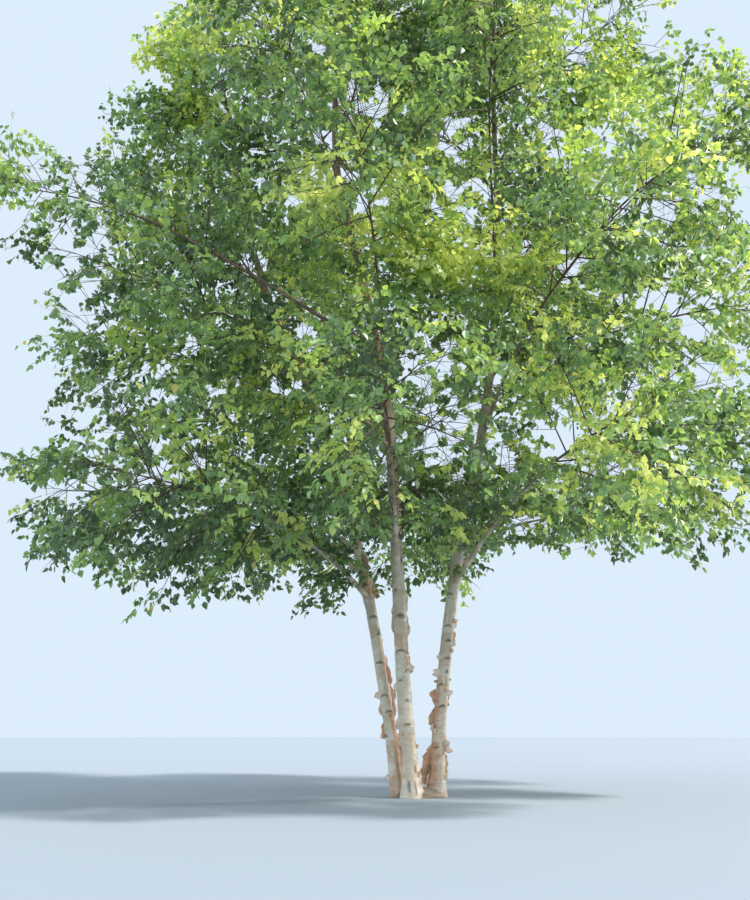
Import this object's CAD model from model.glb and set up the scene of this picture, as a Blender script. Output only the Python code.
import math
from types import SimpleNamespace as Values

import bpy
import numpy as np
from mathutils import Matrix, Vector


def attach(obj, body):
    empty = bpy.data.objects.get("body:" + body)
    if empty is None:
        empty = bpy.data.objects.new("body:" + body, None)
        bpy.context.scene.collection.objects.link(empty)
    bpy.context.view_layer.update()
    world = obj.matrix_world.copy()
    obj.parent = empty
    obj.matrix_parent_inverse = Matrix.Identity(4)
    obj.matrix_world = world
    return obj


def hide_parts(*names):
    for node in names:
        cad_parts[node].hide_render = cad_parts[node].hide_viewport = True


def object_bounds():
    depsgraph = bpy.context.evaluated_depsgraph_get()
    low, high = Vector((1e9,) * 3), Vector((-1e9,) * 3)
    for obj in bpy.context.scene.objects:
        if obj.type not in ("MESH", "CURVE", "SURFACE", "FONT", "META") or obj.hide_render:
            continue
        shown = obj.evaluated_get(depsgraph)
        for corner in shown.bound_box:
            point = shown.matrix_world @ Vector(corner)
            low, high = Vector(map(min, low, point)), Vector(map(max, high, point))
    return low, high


# Looks for a birch grown as a clump: three stems from one root crown, boughs, twigs and leaves.
# Lengths are in millimetres until a mesh is made, with +Z up and the origin on the ground.
# Azimuths are in degrees from +X towards +Y, so the camera looks from 270.

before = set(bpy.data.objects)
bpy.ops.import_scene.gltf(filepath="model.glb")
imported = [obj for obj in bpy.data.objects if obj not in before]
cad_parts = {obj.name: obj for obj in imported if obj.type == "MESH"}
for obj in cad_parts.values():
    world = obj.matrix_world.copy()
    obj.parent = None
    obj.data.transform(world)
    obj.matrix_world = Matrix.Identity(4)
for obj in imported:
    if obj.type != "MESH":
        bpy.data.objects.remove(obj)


def box_as_lists():
    return [[float(value) for value in corner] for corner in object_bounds()]


CAD_BOX = box_as_lists()

# The rule of the solids: the same sizes, places and seeds

CLEAR = 0.3
TREE_HEIGHT = 11600
ROOT_CROWN_HEIGHT = 150
STEMS = {
    "left": {
        "girth": 70,
        "axis": [
            [-225, 120, 0], [-345, 150, 900], [-675, 200, 2700], [-1200, 280, 4500],
            [-1880, 360, 6100], [-2330, 430, 7700], [-2480, 470, 8700],
        ],
    },
    "centre": {
        "girth": 82,
        "axis": [
            [-90, -75, 0], [-170, -120, 1100], [-250, -200, 2800], [-350, -300, 4400],
            [-700, -400, 6200], [-960, -460, 7400], [-1000, -520, 8500], [-960, -560, 9500],
        ],
    },
    "right": {
        "girth": 75,
        "axis": [
            [165, 90, 0], [265, 110, 1100], [470, 150, 2600], [800, 185, 4100],
            [1010, 220, 5500], [1120, 265, 7100], [1150, 310, 9000], [1220, 340, 9900],
        ],
    },
}
STEM_TAPER = 0.8
STEM_AIM = 1.06  # of the tree's height, where a stem would taper to nothing
STEM_SWELL = 1.07
FLARE = Values(gain=0.62, height=210, lobes=5, lobe_gain=0.13)
ROOT_DOME = Values(
    profile=[(0, 0), (265, 0), (235, 45), (160, 85), (70, 105), (0, 110)],
    stretch=(1.05, 0.72), centre=(-10, 25),
)

# label: stem, height of the fork on it, azimuth, reach, height, radius
MASSES = {
    "low_left": ("left", 2450, 184, 3350, 3350, 1500),
    "low_left_front": ("left", 2150, 221, 3150, 3000, 1450),
    "low_front": ("centre", 2450, 262, 2600, 3500, 1500),
    "low_front_right": ("right", 2300, 304, 2900, 3450, 1450),
    "low_right": ("right", 2750, 350, 2950, 3600, 1400),
    "low_back_right": ("right", 2600, 36, 3050, 3500, 1450),
    "low_back": ("centre", 2950, 84, 2750, 3800, 1450),
    "low_back_left": ("left", 2700, 136, 3100, 3350, 1450),
    "mid_left": ("left", 4150, 178, 3550, 5350, 1400),
    "mid_left_front": ("centre", 3800, 219, 3300, 5050, 1400),
    "mid_front": ("centre", 4450, 259, 2950, 5800, 1500),
    "mid_front_right": ("right", 4050, 303, 3100, 5450, 1500),
    "mid_right": ("right", 4500, 345, 3250, 5350, 1350),
    "mid_back_right": ("right", 4900, 31, 3250, 5900, 1500),
    "mid_back": ("left", 4200, 82, 2950, 5350, 1500),
    "mid_back_left": ("left", 4800, 131, 3300, 5850, 1500),
    "long_left": ("centre", 5050, 190, 4350, 6950, 1100),
    "high_left": ("left", 6100, 172, 3100, 7450, 1150),
    "high_left_front": ("centre", 5900, 240, 2600, 7450, 1450),
    "high_front": ("right", 6100, 286, 2500, 7850, 1500),
    "long_right": ("right", 4950, 346, 3600, 7550, 1300),
    "high_back_right": ("right", 6200, 42, 2850, 7700, 1500),
    "high_back_left": ("left", 6300, 118, 2850, 8000, 1500),
    "upper_front": ("centre", 7600, 266, 1750, 9450, 1400),
    "upper_right": ("right", 7900, 350, 2350, 9550, 1250),
    "upper_back": ("right", 7500, 84, 1850, 9550, 1400),
}
# label: stem, azimuth, reach, height, radius
LEADERS = {
    "top_left": ("left", 170, 2350, 9700, 1300),
    "top_centre": ("centre", 212, 1000, 10400, 1250),
    "top_right": ("right", 22, 1200, 10450, 1250),
}
BOUGH = Values(
    base_share=0.5, least_base=19, tip_share=0.5, collar_gain=0.35, collar_reach=0.06,
    lowest_climb=35, highest_climb=60, lowest_fork=2200, highest_fork=7900,
    climb_run=0.36, level_run=0.34, rise=0.7, drop=0.1,
    rings=26, sides=10, beyond=20,
)
OWN_CLIMBS = {"long_left": 30}  # in place of the climb that goes with the fork's height
PALE = Values(most=0.95, full_to=3000, fade=1600, along=(600, 2700))  # boughs near the stems
ENTRY = Values(first=0.25, last=0.98, step=0.01, margin=70)  # where a bough enters its mass
SPINE = Values(
    along=0.6, outward=0.6, run=0.45, beyond=0.62, sag=0.1,
    rings=7, sides=6, least=12, tip=5,
)
PROBE = Values(step=40, count=80)  # steps that feel for the edge of a space
SPACE_MARGIN = 12
GOLDEN_ANGLE = 137.5
TWIG = Values(
    count=6, first=0.14, last=0.92, spread=68, narrowing=34, turn=40,
    seed=1000, seed_step=77, margin=90, least=260, least_tip=150,
    thick=(9.5, 3.0), full_length=1300, thinner=(0.6, 1.15), lift=0.1, rings=5,
)

# Large sheets of loose bark: stem, height, the way they face, width, height of the sheet, turn and
# radius of the curl
BARK_SHEETS = [
    ("right", 400, 128, 200, 250, 1, 125), ("right", 270, 142, 160, 190, 1, 80),
    ("right", 485, 118, 140, 140, 1, 70), ("right", 225, 168, 115, 150, 1, 60),
    ("right", 330, 42, 90, 160, -1, 60), ("right", 235, 20, 75, 110, -1, 50),
    ("right", 540, 310, 145, 140, 1, 115), ("right", 860, 150, 115, 200, 1, 80),
    ("right", 1040, 138, 125, 170, 1, 95), ("right", 975, 30, 70, 60, -1, 60),
    ("right", 1100, 305, 105, 75, 1, 90), ("right", 1318, 236, 135, 105, -1, 125),
    ("right", 1490, 230, 100, 50, -1, 90), ("right", 1640, 312, 85, 110, 1, 90),
    ("right", 1560, 318, 65, 70, 1, 60), ("right", 1200, 290, 60, 120, -1, 70),
    ("left", 1085, 238, 120, 95, -1, 110), ("left", 1300, 25, 80, 240, -1, 50),
    ("left", 1080, 32, 90, 260, -1, 60), ("left", 920, 15, 80, 180, -1, 50),
    ("left", 1430, 350, 65, 150, 1, 45), ("left", 2240, 38, 130, 170, -1, 75),
    ("left", 2590, 30, 70, 160, -1, 45), ("left", 420, 20, 70, 200, -1, 60),
    ("centre", 1335, 328, 85, 100, 1, 60), ("centre", 1870, 160, 70, 200, 1, 40),
    ("centre", 1980, 205, 55, 150, -1, 40), ("centre", 2150, 336, 60, 260, 1, 45),
    ("centre", 1830, 342, 60, 240, 1, 40), ("centre", 1160, 200, 60, 130, -1, 45),
    ("left", 700, 140, 110, 180, 1, 80), ("left", 1650, 90, 120, 140, -1, 90),
    ("centre", 560, 110, 120, 200, 1, 90), ("centre", 1450, 70, 110, 160, -1, 80),
    ("right", 700, 80, 130, 190, 1, 100), ("right", 1750, 110, 110, 130, -1, 85),
]
# Of every sheet: how deep in the stem it starts, how it is torn and bent, and how it looks
SHEET = Values(
    sunk=9, thick=1.8, torn=(-0.5, 0.22), torn_edge=(-0.3, 0.15), ragged=0.03,
    corner=0.55, cone=0.28, wave=0.1, slant=0.25, back=0.12,
    peeled=0.5, inner_bare=0.85, outer_bare=0.3,
)
# Small ones: how many, between which heights, how they crowd to the foot, and their sizes
CURLS = Values(
    seed=5, count=120, heights=(120, 4300), lower=1.7, on_stems=[0.3, 0.28, 0.42],
    wide=(30, 80), tall=(30, 140), radius=(20, 60),
)

# What the looks add to the rule

# Twigs between its own, on each spine
EXTRA = Values(seed=300, count=14, first=0.06, run=0.94, wider=(-8, 34), wider_fade=0.5, turn=70)
INNER = -1  # stands for the order of a mass where twigs grow in the middle of the crown
LOW = -2  # and where they hang round the stems, below the crown
INNER_TWIGS = Values(
    seed=77, per_bough=8, first=0.3, bough_turn=50, length=(600, 1500), fade=0.3,
    spread=68, spread_noise=8, rise=0.15, least=300, shortening=0.8, margin=60,
    foot=3300, below_top=100, step=330,
)
# The middle of the crown, where no mass has its space
HEART = Values(x=-150, reach=2500, low=2600, high=9700)
BOX_SPARE = 0.02  # of the solids' box, on each side
FILL = Values(seed=88, first=0.2, places=12, out=(0.35, 0.9), climb_cost=0.6, nearest=4)
# Sprays between the masses: centre, radius and how many twigs reach in from the nearest spines
FILLS = [
    ((-3560, 250, 9850), 480, 5), ((-3300, 300, 10250), 380, 4), ((-3700, 150, 8650), 620, 6),
    ((-3250, 250, 9050), 620, 5), ((-3250, 100, 8350), 560, 5),
    ((-1400, -650, 2900), 520, 9), ((-950, -500, 2500), 330, 5), ((850, -550, 2900), 480, 8),
    ((60, -650, 3300), 420, 6), ((350, -600, 2850), 330, 4), ((60, -2300, 5150), 480, 7),
    ((470, -2300, 5230), 420, 6), ((2800, -200, 8650), 420, 5), ((3700, -450, 4300), 470, 6),
    ((3950, -300, 6450), 420, 4),
    ((80, -60, 10750), 740, 11), ((60, 150, 9800), 760, 9), ((-560, 640, 10150), 650, 8),
    ((560, -640, 10050), 600, 7), ((-1500, 0, 10350), 520, 4), ((850, 1250, 10150), 560, 4),
    ((-350, 420, 9000), 560, 5), ((350, -450, 9050), 560, 4), ((3400, -100, 8900), 420, 4),
    ((-2550, -700, 3700), 420, 4), ((-1660, -700, 3750), 380, 3),
]
# Sprays that hang low: stem, height of the foot, azimuth, reach, drop
LOW_TWIGS = [
    ("right", 2480, 335, 420, 330), ("right", 2640, 15, 480, 260), ("centre", 2620, 200, 330, 260),
    ("left", 2680, 300, 300, 330), ("left", 2560, 200, 700, 520), ("left", 2700, 165, 620, 420),
    ("centre", 2700, 60, 420, 300), ("right", 2700, 95, 460, 300),
]
LOW_FLOOR = 1850
FOLIAGE_SEED = 21
# Spacing on the twig, tilt of the spray, angle to the twig, then how long a sprig is and how it is cut to fit
SPRIG = Values(
    spacing=120, first=0.16, last=0.995, scatter=0.4, tilt=0.45, angle=52, angle_noise=9,
    tip=0.97, tip_straight=0.75, rise=(-0.02, 0.12), length=(340, 760), vary=(0.7, 1.15),
    of_twig=0.62, over_twig=80, tries=5, shortening=0.74, least=120, margin=60,
    thick=(4.2, 2.34, 1.0), lift=0.02,
)
# The same for the shoots on a sprig; near and fade make those at its tip shorter
SHOOT = Values(
    spacing=92, places=(0.55, 1.0), tilt=0.35, angle=50, angle_noise=12, tip_angle=0.15,
    droop=(0, 0.35), length=(95, 235), near=1.1, fade=0.35, lift=0.05, thick=1.7, sunk=3,
    beyond=40, margin=10,
)
# And for the leaves on a shoot, which point onward, aside and down
LEAF = Values(
    spacing=24, fewest=2, most=10, first=0.8, last=0.2, length=77, vary=(0.72, 1.18),
    width=0.74, onward=0.5, aside=0.85, droop=0.6, droop_spread=(0.3, 1.7), rise=0.35,
    scatter=0.45, margin=-20, budget=169000,
)
# A leaf of length 1: foot, tip and two places on each edge
LEAF_SHAPE = np.array([
    (0, 0, 0), (1, 0, -0.07), (0.3, 0.5, 0.07), (0.64, 0.35, 0.03), (0.3, -0.5, 0.07), (0.64, -0.35, 0.03),
])
LEAF_FACES = np.array([(0, 1, 3), (0, 3, 2), (0, 5, 1), (0, 4, 5)])
# What ends inside a gap is drawn in to a share of its length, so many times
GAP_CUTS = Values(twig_times=12, near_end=0.93, twig=0.88, least=200, sprig_times=5, sprig=0.78)
STEM_ROOM = Values(sprig=60, shoot=70, leaf=30)  # how far each keeps off the stems
NEAR_STEM = Values(first=0.1, places=60, half=110)  # places along a stem, each for so much of its height

# Dark brows on the stems, where boughs once grew: stem, height, the way they face, half width
SCARS = [
    ("left", 903, 285, 46), ("left", 1076, 262, 42), ("left", 1437, 268, 60), ("left", 1761, 320, 38),
    ("left", 1953, 284, 62), ("left", 2320, 262, 44), ("left", 3050, 300, 50), ("left", 640, 205, 40),
    ("centre", 762, 279, 38), ("centre", 1226, 248, 34), ("centre", 1332, 312, 40),
    ("centre", 1548, 262, 62),
    ("centre", 1932, 274, 66), ("centre", 2540, 296, 52), ("centre", 3100, 250, 60),
    ("centre", 1010, 290, 26),
    ("centre", 2210, 225, 40), ("centre", 3650, 285, 55),
    ("right", 521, 258, 34), ("right", 961, 280, 52), ("right", 1194, 252, 44), ("right", 1484, 292, 50),
    ("right", 1678, 279, 40), ("right", 1846, 260, 44), ("right", 2210, 240, 40), ("right", 2429, 300, 50),
    ("right", 2950, 275, 56), ("right", 3500, 250, 60),
    ("left", 800, 120, 44), ("left", 1300, 60, 50), ("left", 1850, 95, 46), ("left", 2500, 130, 52),
    ("centre", 620, 90, 46), ("centre", 1150, 120, 40), ("centre", 1700, 70, 60), ("centre", 2400, 100, 52),
    ("right", 760, 80, 50), ("right", 1250, 110, 44), ("right", 1750, 60, 52), ("right", 2350, 90, 48),
]
# The dark band and the ridge above it
SCAR = Values(
    tall=11, bend=0.42, end=1.15, thinnest=0.02, reach=1.12, side_fade=0.2,
    band=1.25, fade=0.6, ridge=4.5, below=4, ridge_tall=22,
)
# Rough brown knots: stem, height, facing, half width, half height
KNOTS = [
    ("centre", 1925, 274, 50, 44), ("centre", 2540, 296, 36, 42), ("right", 2440, 296, 34, 44),
    ("left", 2610, 318, 44, 110), ("right", 1330, 296, 22, 26), ("centre", 140, 257, 12, 85),
    ("centre", 120, 292, 12, 75), ("right", 280, 208, 30, 80),
    ("left", 3300, 280, 40, 70), ("centre", 3420, 262, 46, 60),
    ("centre", 1400, 110, 40, 40), ("left", 1900, 60, 36, 44), ("right", 1600, 90, 40, 50),
]
# Outline, darkness and height of a knot
KNOT = Values(ragged=0.35, rough=0.25, dark=0.78, edge=1.15, fade=0.5, ridge=4)
# Bare cinnamon skin where sheets have come away: stem, height, facing, half height, half angle
PEELED = [
    ("left", 420, 325, 560, 62), ("left", 2290, 285, 110, 75), ("left", 1480, 350, 330, 36),
    ("centre", 1640, 345, 200, 34), ("right", 330, 222, 360, 62),
    ("right", 960, 212, 260, 44), ("right", 560, 338, 140, 46),
    ("left", 700, 110, 320, 60), ("centre", 1300, 85, 300, 50), ("right", 520, 70, 300, 55),
    ("right", 2300, 120, 240, 50), ("centre", 420, 180, 240, 50),
]
# Edge of such a place
PEEL = Values(edge=1.05, ragged=0.3, soft=0.3)
# Grain of the skin: cells round the stem and height of a cell
SKIN_GRAINS = {
    "swell": (3, 520), "lumps": (5, 210), "sheets": (5, 150), "flakes": (11, 46), "fine": (17, 24),
    "bare": (3, 330),
}
SKIN_SEED_STEP = 10
# How the grains add up, and between which values the skin is peeled, deeper peeled and bare
SKIN = Values(
    lumps=0.5, flakes=0.6, peeled_from=(-0.12, 0.12), deeper_from=(0.5, 0.66),
    bare_layers=0.35, bare_from=(0.52, 0.72), bare_share=0.7, rough_to=3000, fade=2500,
)
# How high and how deep these go, in mm
RELIEF = Values(swell=2.6, peeled=2.4, deeper=2.0, bare=1.6, fine=0.7)
COLLAR_SWELL = Values(gain=0.45, across=1.25, up=2.1, above=0.7)  # of the bough's foot and the stem
STEM_RINGS = Values(in_root_crown=13, fine=16.0, fine_to=2700, coarse=42.0, below_top=20)
DOME = Values(
    sides=48, rings=16, above=60, grains=((90, 13, 30), (91, 7, 90)), lumps=14, dents=8,
    lumps_worn=0.8, dents_worn=1.6, bare=0.35, dark=0.9, paler=0.55,
)

CAMERA = Values(x=-0.49, y=-10.9, z=0.7, pitch=16.42, lens=38.0, sensor=36.0, far=300)
FOCAL = 950  # in pixels, as all places in the picture below
MIDDLE = (375, 450)  # of the picture
# Where nothing grows between the camera and the sky: place right and down, and half sizes
SKY_GAPS = [
    (652, 25, 10, 34), (4, 214, 22, 9), (8, 288, 40, 6), (58, 112, 34, 20), (72, 142, 18, 14),
    (10, 326, 36, 8), (14, 350, 26, 7), (24, 388, 34, 15), (22, 430, 26, 10), (66, 488, 25, 11),
    (20, 493, 20, 8), (10, 538, 16, 16), (62, 600, 50, 28), (235, 625, 66, 24), (155, 82, 22, 5),
    (505, 622, 30, 36), (530, 590, 46, 48), (592, 604, 48, 54), (648, 604, 44, 54), (684, 600, 30, 38),
    (745, 585, 40, 40),
]
# Where it shows between the leaves: place, half sizes, and how much of the place is open
THIN_PLACES = [
    (368, 104, 30, 20, 0.62), (330, 135, 14, 10, 0.45), (345, 172, 10, 16, 0.5), (372, 202, 18, 14, 0.5),
    (463, 168, 32, 46, 0.42), (505, 120, 12, 10, 0.45), (553, 135, 16, 13, 0.6), (578, 66, 12, 26, 0.34),
    (592, 10, 32, 12, 0.5), (318, 48, 9, 9, 0.3), (572, 268, 20, 18, 0.5), (525, 245, 9, 9, 0.35),
    (665, 205, 18, 12, 0.5), (712, 190, 34, 26, 0.24), (664, 306, 24, 18, 0.62),
    (690, 332, 16, 20, 0.62), (704, 290, 10, 12, 0.5), (700, 376, 42, 14, 0.62),
    (432, 372, 26, 34, 0.58), (440, 430, 38, 48, 0.6), (505, 450, 16, 20, 0.3), (550, 440, 26, 20, 0.56),
    (562, 402, 14, 14, 0.5), (610, 468, 26, 7, 0.55), (635, 385, 10, 10, 0.45), (525, 526, 24, 9, 0.75),
    (577, 543, 9, 7, 0.6), (140, 382, 40, 16, 0.56), (95, 420, 32, 20, 0.45), (155, 438, 20, 10, 0.3),
    (135, 475, 46, 12, 0.3), (195, 452, 12, 18, 0.2), (190, 350, 18, 16, 0.15), (285, 385, 16, 10, 0.4),
    (250, 390, 40, 14, 0.2), (310, 330, 12, 20, 0.35), (290, 210, 12, 14, 0.28), (255, 262, 12, 12, 0.25),
    (382, 455, 8, 14, 0.4), (72, 262, 34, 86, 0.52), (40, 300, 36, 30, 0.42), (60, 180, 34, 30, 0.5),
]
THIN_GRAIN = Values(seed=31, size=(760, 910), cell=7, spare=4, spread=1.7, fall=0.7, least=0.05)
# Where the near leaves leave a stem to be seen, and how near they are
OPEN_STEM = [
    (388, 425, 7, 26), (391, 468, 7, 24), (394, 500, 7, 12), (366, 582, 9, 24), (396, 580, 8, 20),
    (463, 562, 9, 22), (379, 346, 4, 20),
]
NEAR_LEAVES = -330
# The same for boughs: which one and the shares along it, and how many pixels the leaves keep off
OPEN_BOUGHS = [
    ("long_left", 0.16, 0.31), ("long_left", 0.34, 0.52), ("long_left", 0.59, 0.66),
    ("long_left", 0.72, 0.79),
]
OPEN_BOUGH = Values(places=40, reach=4.5)
# Where near sprays are lighter or deeper than the rest: place, half sizes, steps of tint
SUNNY_PLACES = [
    (320, 185, 32, 40, 4), (372, 230, 28, 22, 6), (410, 180, 22, 26, 1), (470, 260, 70, 36, 3),
    (640, 140, 60, 60, 0.5), (160, 50, 60, 60, 2), (545, 30, 60, 36, 1.5), (430, 60, 50, 40, -3),
    (260, 40, 40, 40, -2), (285, 130, 40, 30, -2), (330, 320, 50, 34, 2), (250, 385, 60, 40, 1),
    (565, 385, 50, 36, 2), (620, 430, 50, 34, 1), (400, 355, 40, 34, -3), (200, 300, 60, 50, -0.5),
    (720, 540, 36, 26, -3.5), (150, 540, 60, 26, -1.5), (60, 200, 60, 60, -1.5), (545, 205, 40, 30, -1.5),
]

# Tints of the sprays: the crown as an ellipsoid, and how light, place, patches and chance count
CROWN = Values(middle=(-300, 0, 6200), half=(5000, 4300, 5400))
TINT = Values(
    base=2.1, lit=0.9, outward=0.9, turning_point=0.6, patches=2.0, noise=0.8,
    near=(0, 1500), steps=[0.16, 0.68, 0.16], turned=0.0025,
)
PATCHES = Values(seed=64, waves=10, length=(500, 1600), shift=6.28, even=3.2)
TURNING = 7  # the place in the table of a leaf that turns yellow
# name: face colour, colour and share of the light that comes through, record slot
TINTS = {
    "leaves_deep_1": ("#40583f", "#5f803a", 0.4, "leaves_deep"),
    "leaves_deep_2": ("#5b7553", "#7b9c4a", 0.43, "leaves_deep"),
    "leaves_mid_1": ("#6f8e6a", "#93b350", 0.45, "leaves_mid"),
    "leaves_mid_2": ("#87a876", "#aec85a", 0.47, "leaves_mid"),
    "leaves_light_1": ("#9fbd76", "#c4dc5a", 0.5, "leaves_light"),
    "leaves_light_2": ("#bfcf7e", "#dfea68", 0.55, "leaves_light"),
    "leaves_light_3": ("#dae294", "#f1f580", 0.6, "leaves_light"),
    "leaves_turning": ("#cfc06a", "#e4d668", 0.46, "leaves_light"),
}
LEAF_GLOSS = Values(roughness=0.36, specular=0.9)

# name: pale and tan sheets, bare and deep skin, scars, and the share and colour of light through it
BARKS = {
    "bark_stem": ("#cfc8b7", "#bcab93", "#c79f84", "#ac7a5a", "#4f463d", None),
    "bark_foot": ("#c8c0b1", "#b09d88", "#bd967b", "#a67556", "#4f463d", None),
    "bark_curl": ("#fbf8f1", "#f3e8da", "#efcbab", "#cf9468", "#5b5046", (0.36, "#f7d3ae")),
}
# Scale, stretch and detail of each pattern, and where it starts and is full
BARK_PATTERNS = {
    "sheets": (3.4, (1, 1, 2.6), 5.0, 0.38, 0.66),
    "ruddy": (3.4, (1, 1, 2.6), 5.0, 0.35, 0.65),
    "skin": (9, (1, 1, 2.2), 4.0, 0.35, 0.7),
    "torn": (16, (1, 1, 1), 2.0, 0.48, 0.62),
    "dashes": (13, (1, 1, 9), 2.0, 0.62, 0.7),
    "streaks": (30, (1, 1, 0.35), 3.0, 0.55, 0.75),
}
# How much of each shows over those before it
BARK_LAYERS = {"peeled": 0.45, "bare": 0.85, "torn": 0.6, "dashes": 0.5, "streaks": 0.22, "scar": 0.92}
MARK_COLOURS = {"torn": "#9a7f6a", "dashes": "#7d6a59", "streaks": "#8a7a6b"}
PEELED_EDGE = ((0.2, 0.5), (0.85, 0.5))  # sheets are torn between these
RUDDY = ("#9c8574", "#7c6352")
DARK_TOP = "#57443a"
RUDDY_HEIGHTS = (3.7, 5.6)  # in metres
DARK_HEIGHTS = (6.5, 9.8)
# name: dark and light, scale of the mottling, and the same colours at its foot if they differ
WOODS = {
    "bark_bough": ("#4a392f", "#7b6353", 9, "#b5a28b", "#dccfba"),
    "bark_twig": ("#3d2f28", "#66503f", 6),
    "bark_shoot": ("#5a4030", "#7c6a44", 6),
}
EVEN = (1, 1, 1)  # the stretch of a pattern that has none
WOOD_MOTTLE = (4.0, 0.35, 0.68)  # detail, and where it starts and is full
# Relief too fine for the meshes: scale, stretch and detail, strength and distance
BARK_BUMP = ((60, (1, 1, 2.4), 4.0), 0.35, 0.004)
WOOD_BUMP = Values(finer=6, detail=3.0, strength=0.3, distance=0.003)
ROUGHNESS = Values(bark=0.72, wood=0.7, floor=0.9, noise=0.55)

FLOOR = Values(sides=96, radius=90, below=0.002, colour="#8a949f")
SKY = Values(colour="#d8e8f6", strength=1.05)
# name: the way to the light, strength, width in degrees, colour; the rim light passes under the crown
SUNS = {
    "key": ((0.62, -0.32, 0.95), 5.0, 6, (1.0, 0.96, 0.9)),
    "rim": ((0.88, 0.42, 0.2), 2.4, 9, (1.0, 0.96, 0.9)),
    "fill": ((-0.8, -0.6, 0.35), 1.4, 60, (0.8, 0.91, 1.0)),
}

UP = np.array([0.0, 0.0, 1.0])
ASKEW = np.array([0.013, 0.007, 0])  # tips an upright a little, so that no limb runs along it
TURN = 2 * math.pi
MM = 0.001  # in metres
METRE = 1000  # in millimetres
TINY = 1e-9


class Seeded:
    """Numbers from 0 to 1 that repeat for a seed, as in the rule of the solids."""

    SIZE = 2 ** 32
    STEP = 0x6D2B79F5
    SHIFTS = (15, 7, 14)
    ODD = 61

    def __init__(self, seed):
        self.state = seed % self.SIZE

    def __call__(self):
        first, second, last = self.SHIFTS
        self.state = (self.state + self.STEP) % self.SIZE
        n = (self.state ^ (self.state >> first)) * (self.state | 1) % self.SIZE
        n ^= (n + (n ^ (n >> second)) * (n | self.ODD)) % self.SIZE
        return (n ^ (n >> last)) / self.SIZE


def unit(vectors):
    vectors = np.asarray(vectors, float)
    return vectors / np.maximum(np.linalg.norm(vectors, axis=-1, keepdims=True), TINY)


def square_to(vectors, axes):
    """The part of each vector that is square to its axis."""
    return vectors - (vectors * axes).sum(-1, keepdims=True) * axes


def smooth(share):
    return share * share * (3 - 2 * share)


def eased(value, low, high):
    """From 0 at low to 1 at high."""
    return smooth(np.clip((value - low) / (high - low), 0, 1))


def blended(grid, x, y):
    """Smooth values between the points of a grid whose last row meets its first."""
    i, j = x.astype(int), y.astype(int)
    u, v = smooth(x - i), smooth(y - j)
    i, right = i % len(grid), (i + 1) % len(grid)
    low = grid[i, j] * (1 - u) + grid[right, j] * u
    high = grid[i, j + 1] * (1 - u) + grid[right, j + 1] * u
    return low * (1 - v) + high * v


def angles_round(sides):
    return TURN * np.arange(sides) / sides


def only(rows, kept):
    """A table of arrays with the rows that are kept."""
    return {key: values[kept] for key, values in rows.items()}


# Curves


class Curve:
    """A line through space, by the share of the way along it."""

    DELTA = 0.0001

    def tangent(self, t):
        return unit(self.point(min(1, t + self.DELTA)) - self.point(max(0, t - self.DELTA)))

    def places(self, shares):
        return np.array([self.point(t) for t in shares])


class StemLine(Curve):
    """A centripetal curve through the points of a stem's axis."""

    HALVINGS = 30

    def __init__(self, axis):
        points = np.array(axis, float)
        self.points = np.array([2 * points[0] - points[1], *points, 2 * points[-1] - points[-2]])

    def point(self, t):
        last = len(self.points) - 3
        i = min(int(last * t), last - 1)
        w = last * t - i
        p0, p1, p2, p3 = self.points[i:i + 4]
        d0, d1, d2 = (math.sqrt(np.linalg.norm(b - a)) for a, b in ((p0, p1), (p1, p2), (p2, p3)))
        t1 = ((p1 - p0) / d0 - (p2 - p0) / (d0 + d1) + (p2 - p1) / d1) * d1
        t2 = ((p2 - p1) / d1 - (p3 - p1) / (d1 + d2) + (p3 - p2) / d2) * d1
        return (
            p1 + t1 * w + (-3 * p1 + 3 * p2 - 2 * t1 - t2) * w ** 2
            + (2 * p1 - 2 * p2 + t1 + t2) * w ** 3
        )

    def share_at(self, height):
        low, high = 0.0, 1.0
        for _ in range(self.HALVINGS):
            middle = (low + high) / 2
            if self.point(middle)[2] < height:
                low = middle
            else:
                high = middle
        return (low + high) / 2

    def at(self, height):
        return self.point(self.share_at(height))


class Bezier(Curve):
    """A curve with any number of control points."""

    def __init__(self, *controls):
        self.controls = [np.array(c, float) for c in controls]

    def point(self, t):
        level = self.controls
        while len(level) > 1:
            level = [a + (b - a) * t for a, b in zip(level, level[1:])]
        return level[0]


STEM_LINES = {name: StemLine(stem["axis"]) for name, stem in STEMS.items()}


def stem_radius(name, height):
    left = np.maximum(0, 1 - height / (TREE_HEIGHT * STEM_AIM))
    return STEMS[name]["girth"] * STEM_SWELL * left ** STEM_TAPER


def flare_at(name, height, angle):
    fade = np.exp(-height / FLARE.height)
    lobes = FLARE.lobe_gain * np.cos(FLARE.lobes * angle + STEMS[name]["girth"])
    return 1 + fade * (FLARE.gain + lobes)


# Spaces of the masses


def place_of(azimuth, reach, height):
    angle = math.radians(azimuth)
    return np.array([reach * math.cos(angle), reach * math.sin(angle), height])


LABELS = list(MASSES) + list(LEADERS)
FOLIAGE_NODES = [f"foliage_{label}" for label in LABELS]
SPACE_CENTRES = np.array(
    [place_of(*mass[2:5]) for mass in MASSES.values()] + [place_of(*mass[1:4]) for mass in LEADERS.values()]
)
SPACE_RADII = np.array([mass[5] for mass in MASSES.values()] + [mass[4] for mass in LEADERS.values()], float)


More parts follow.
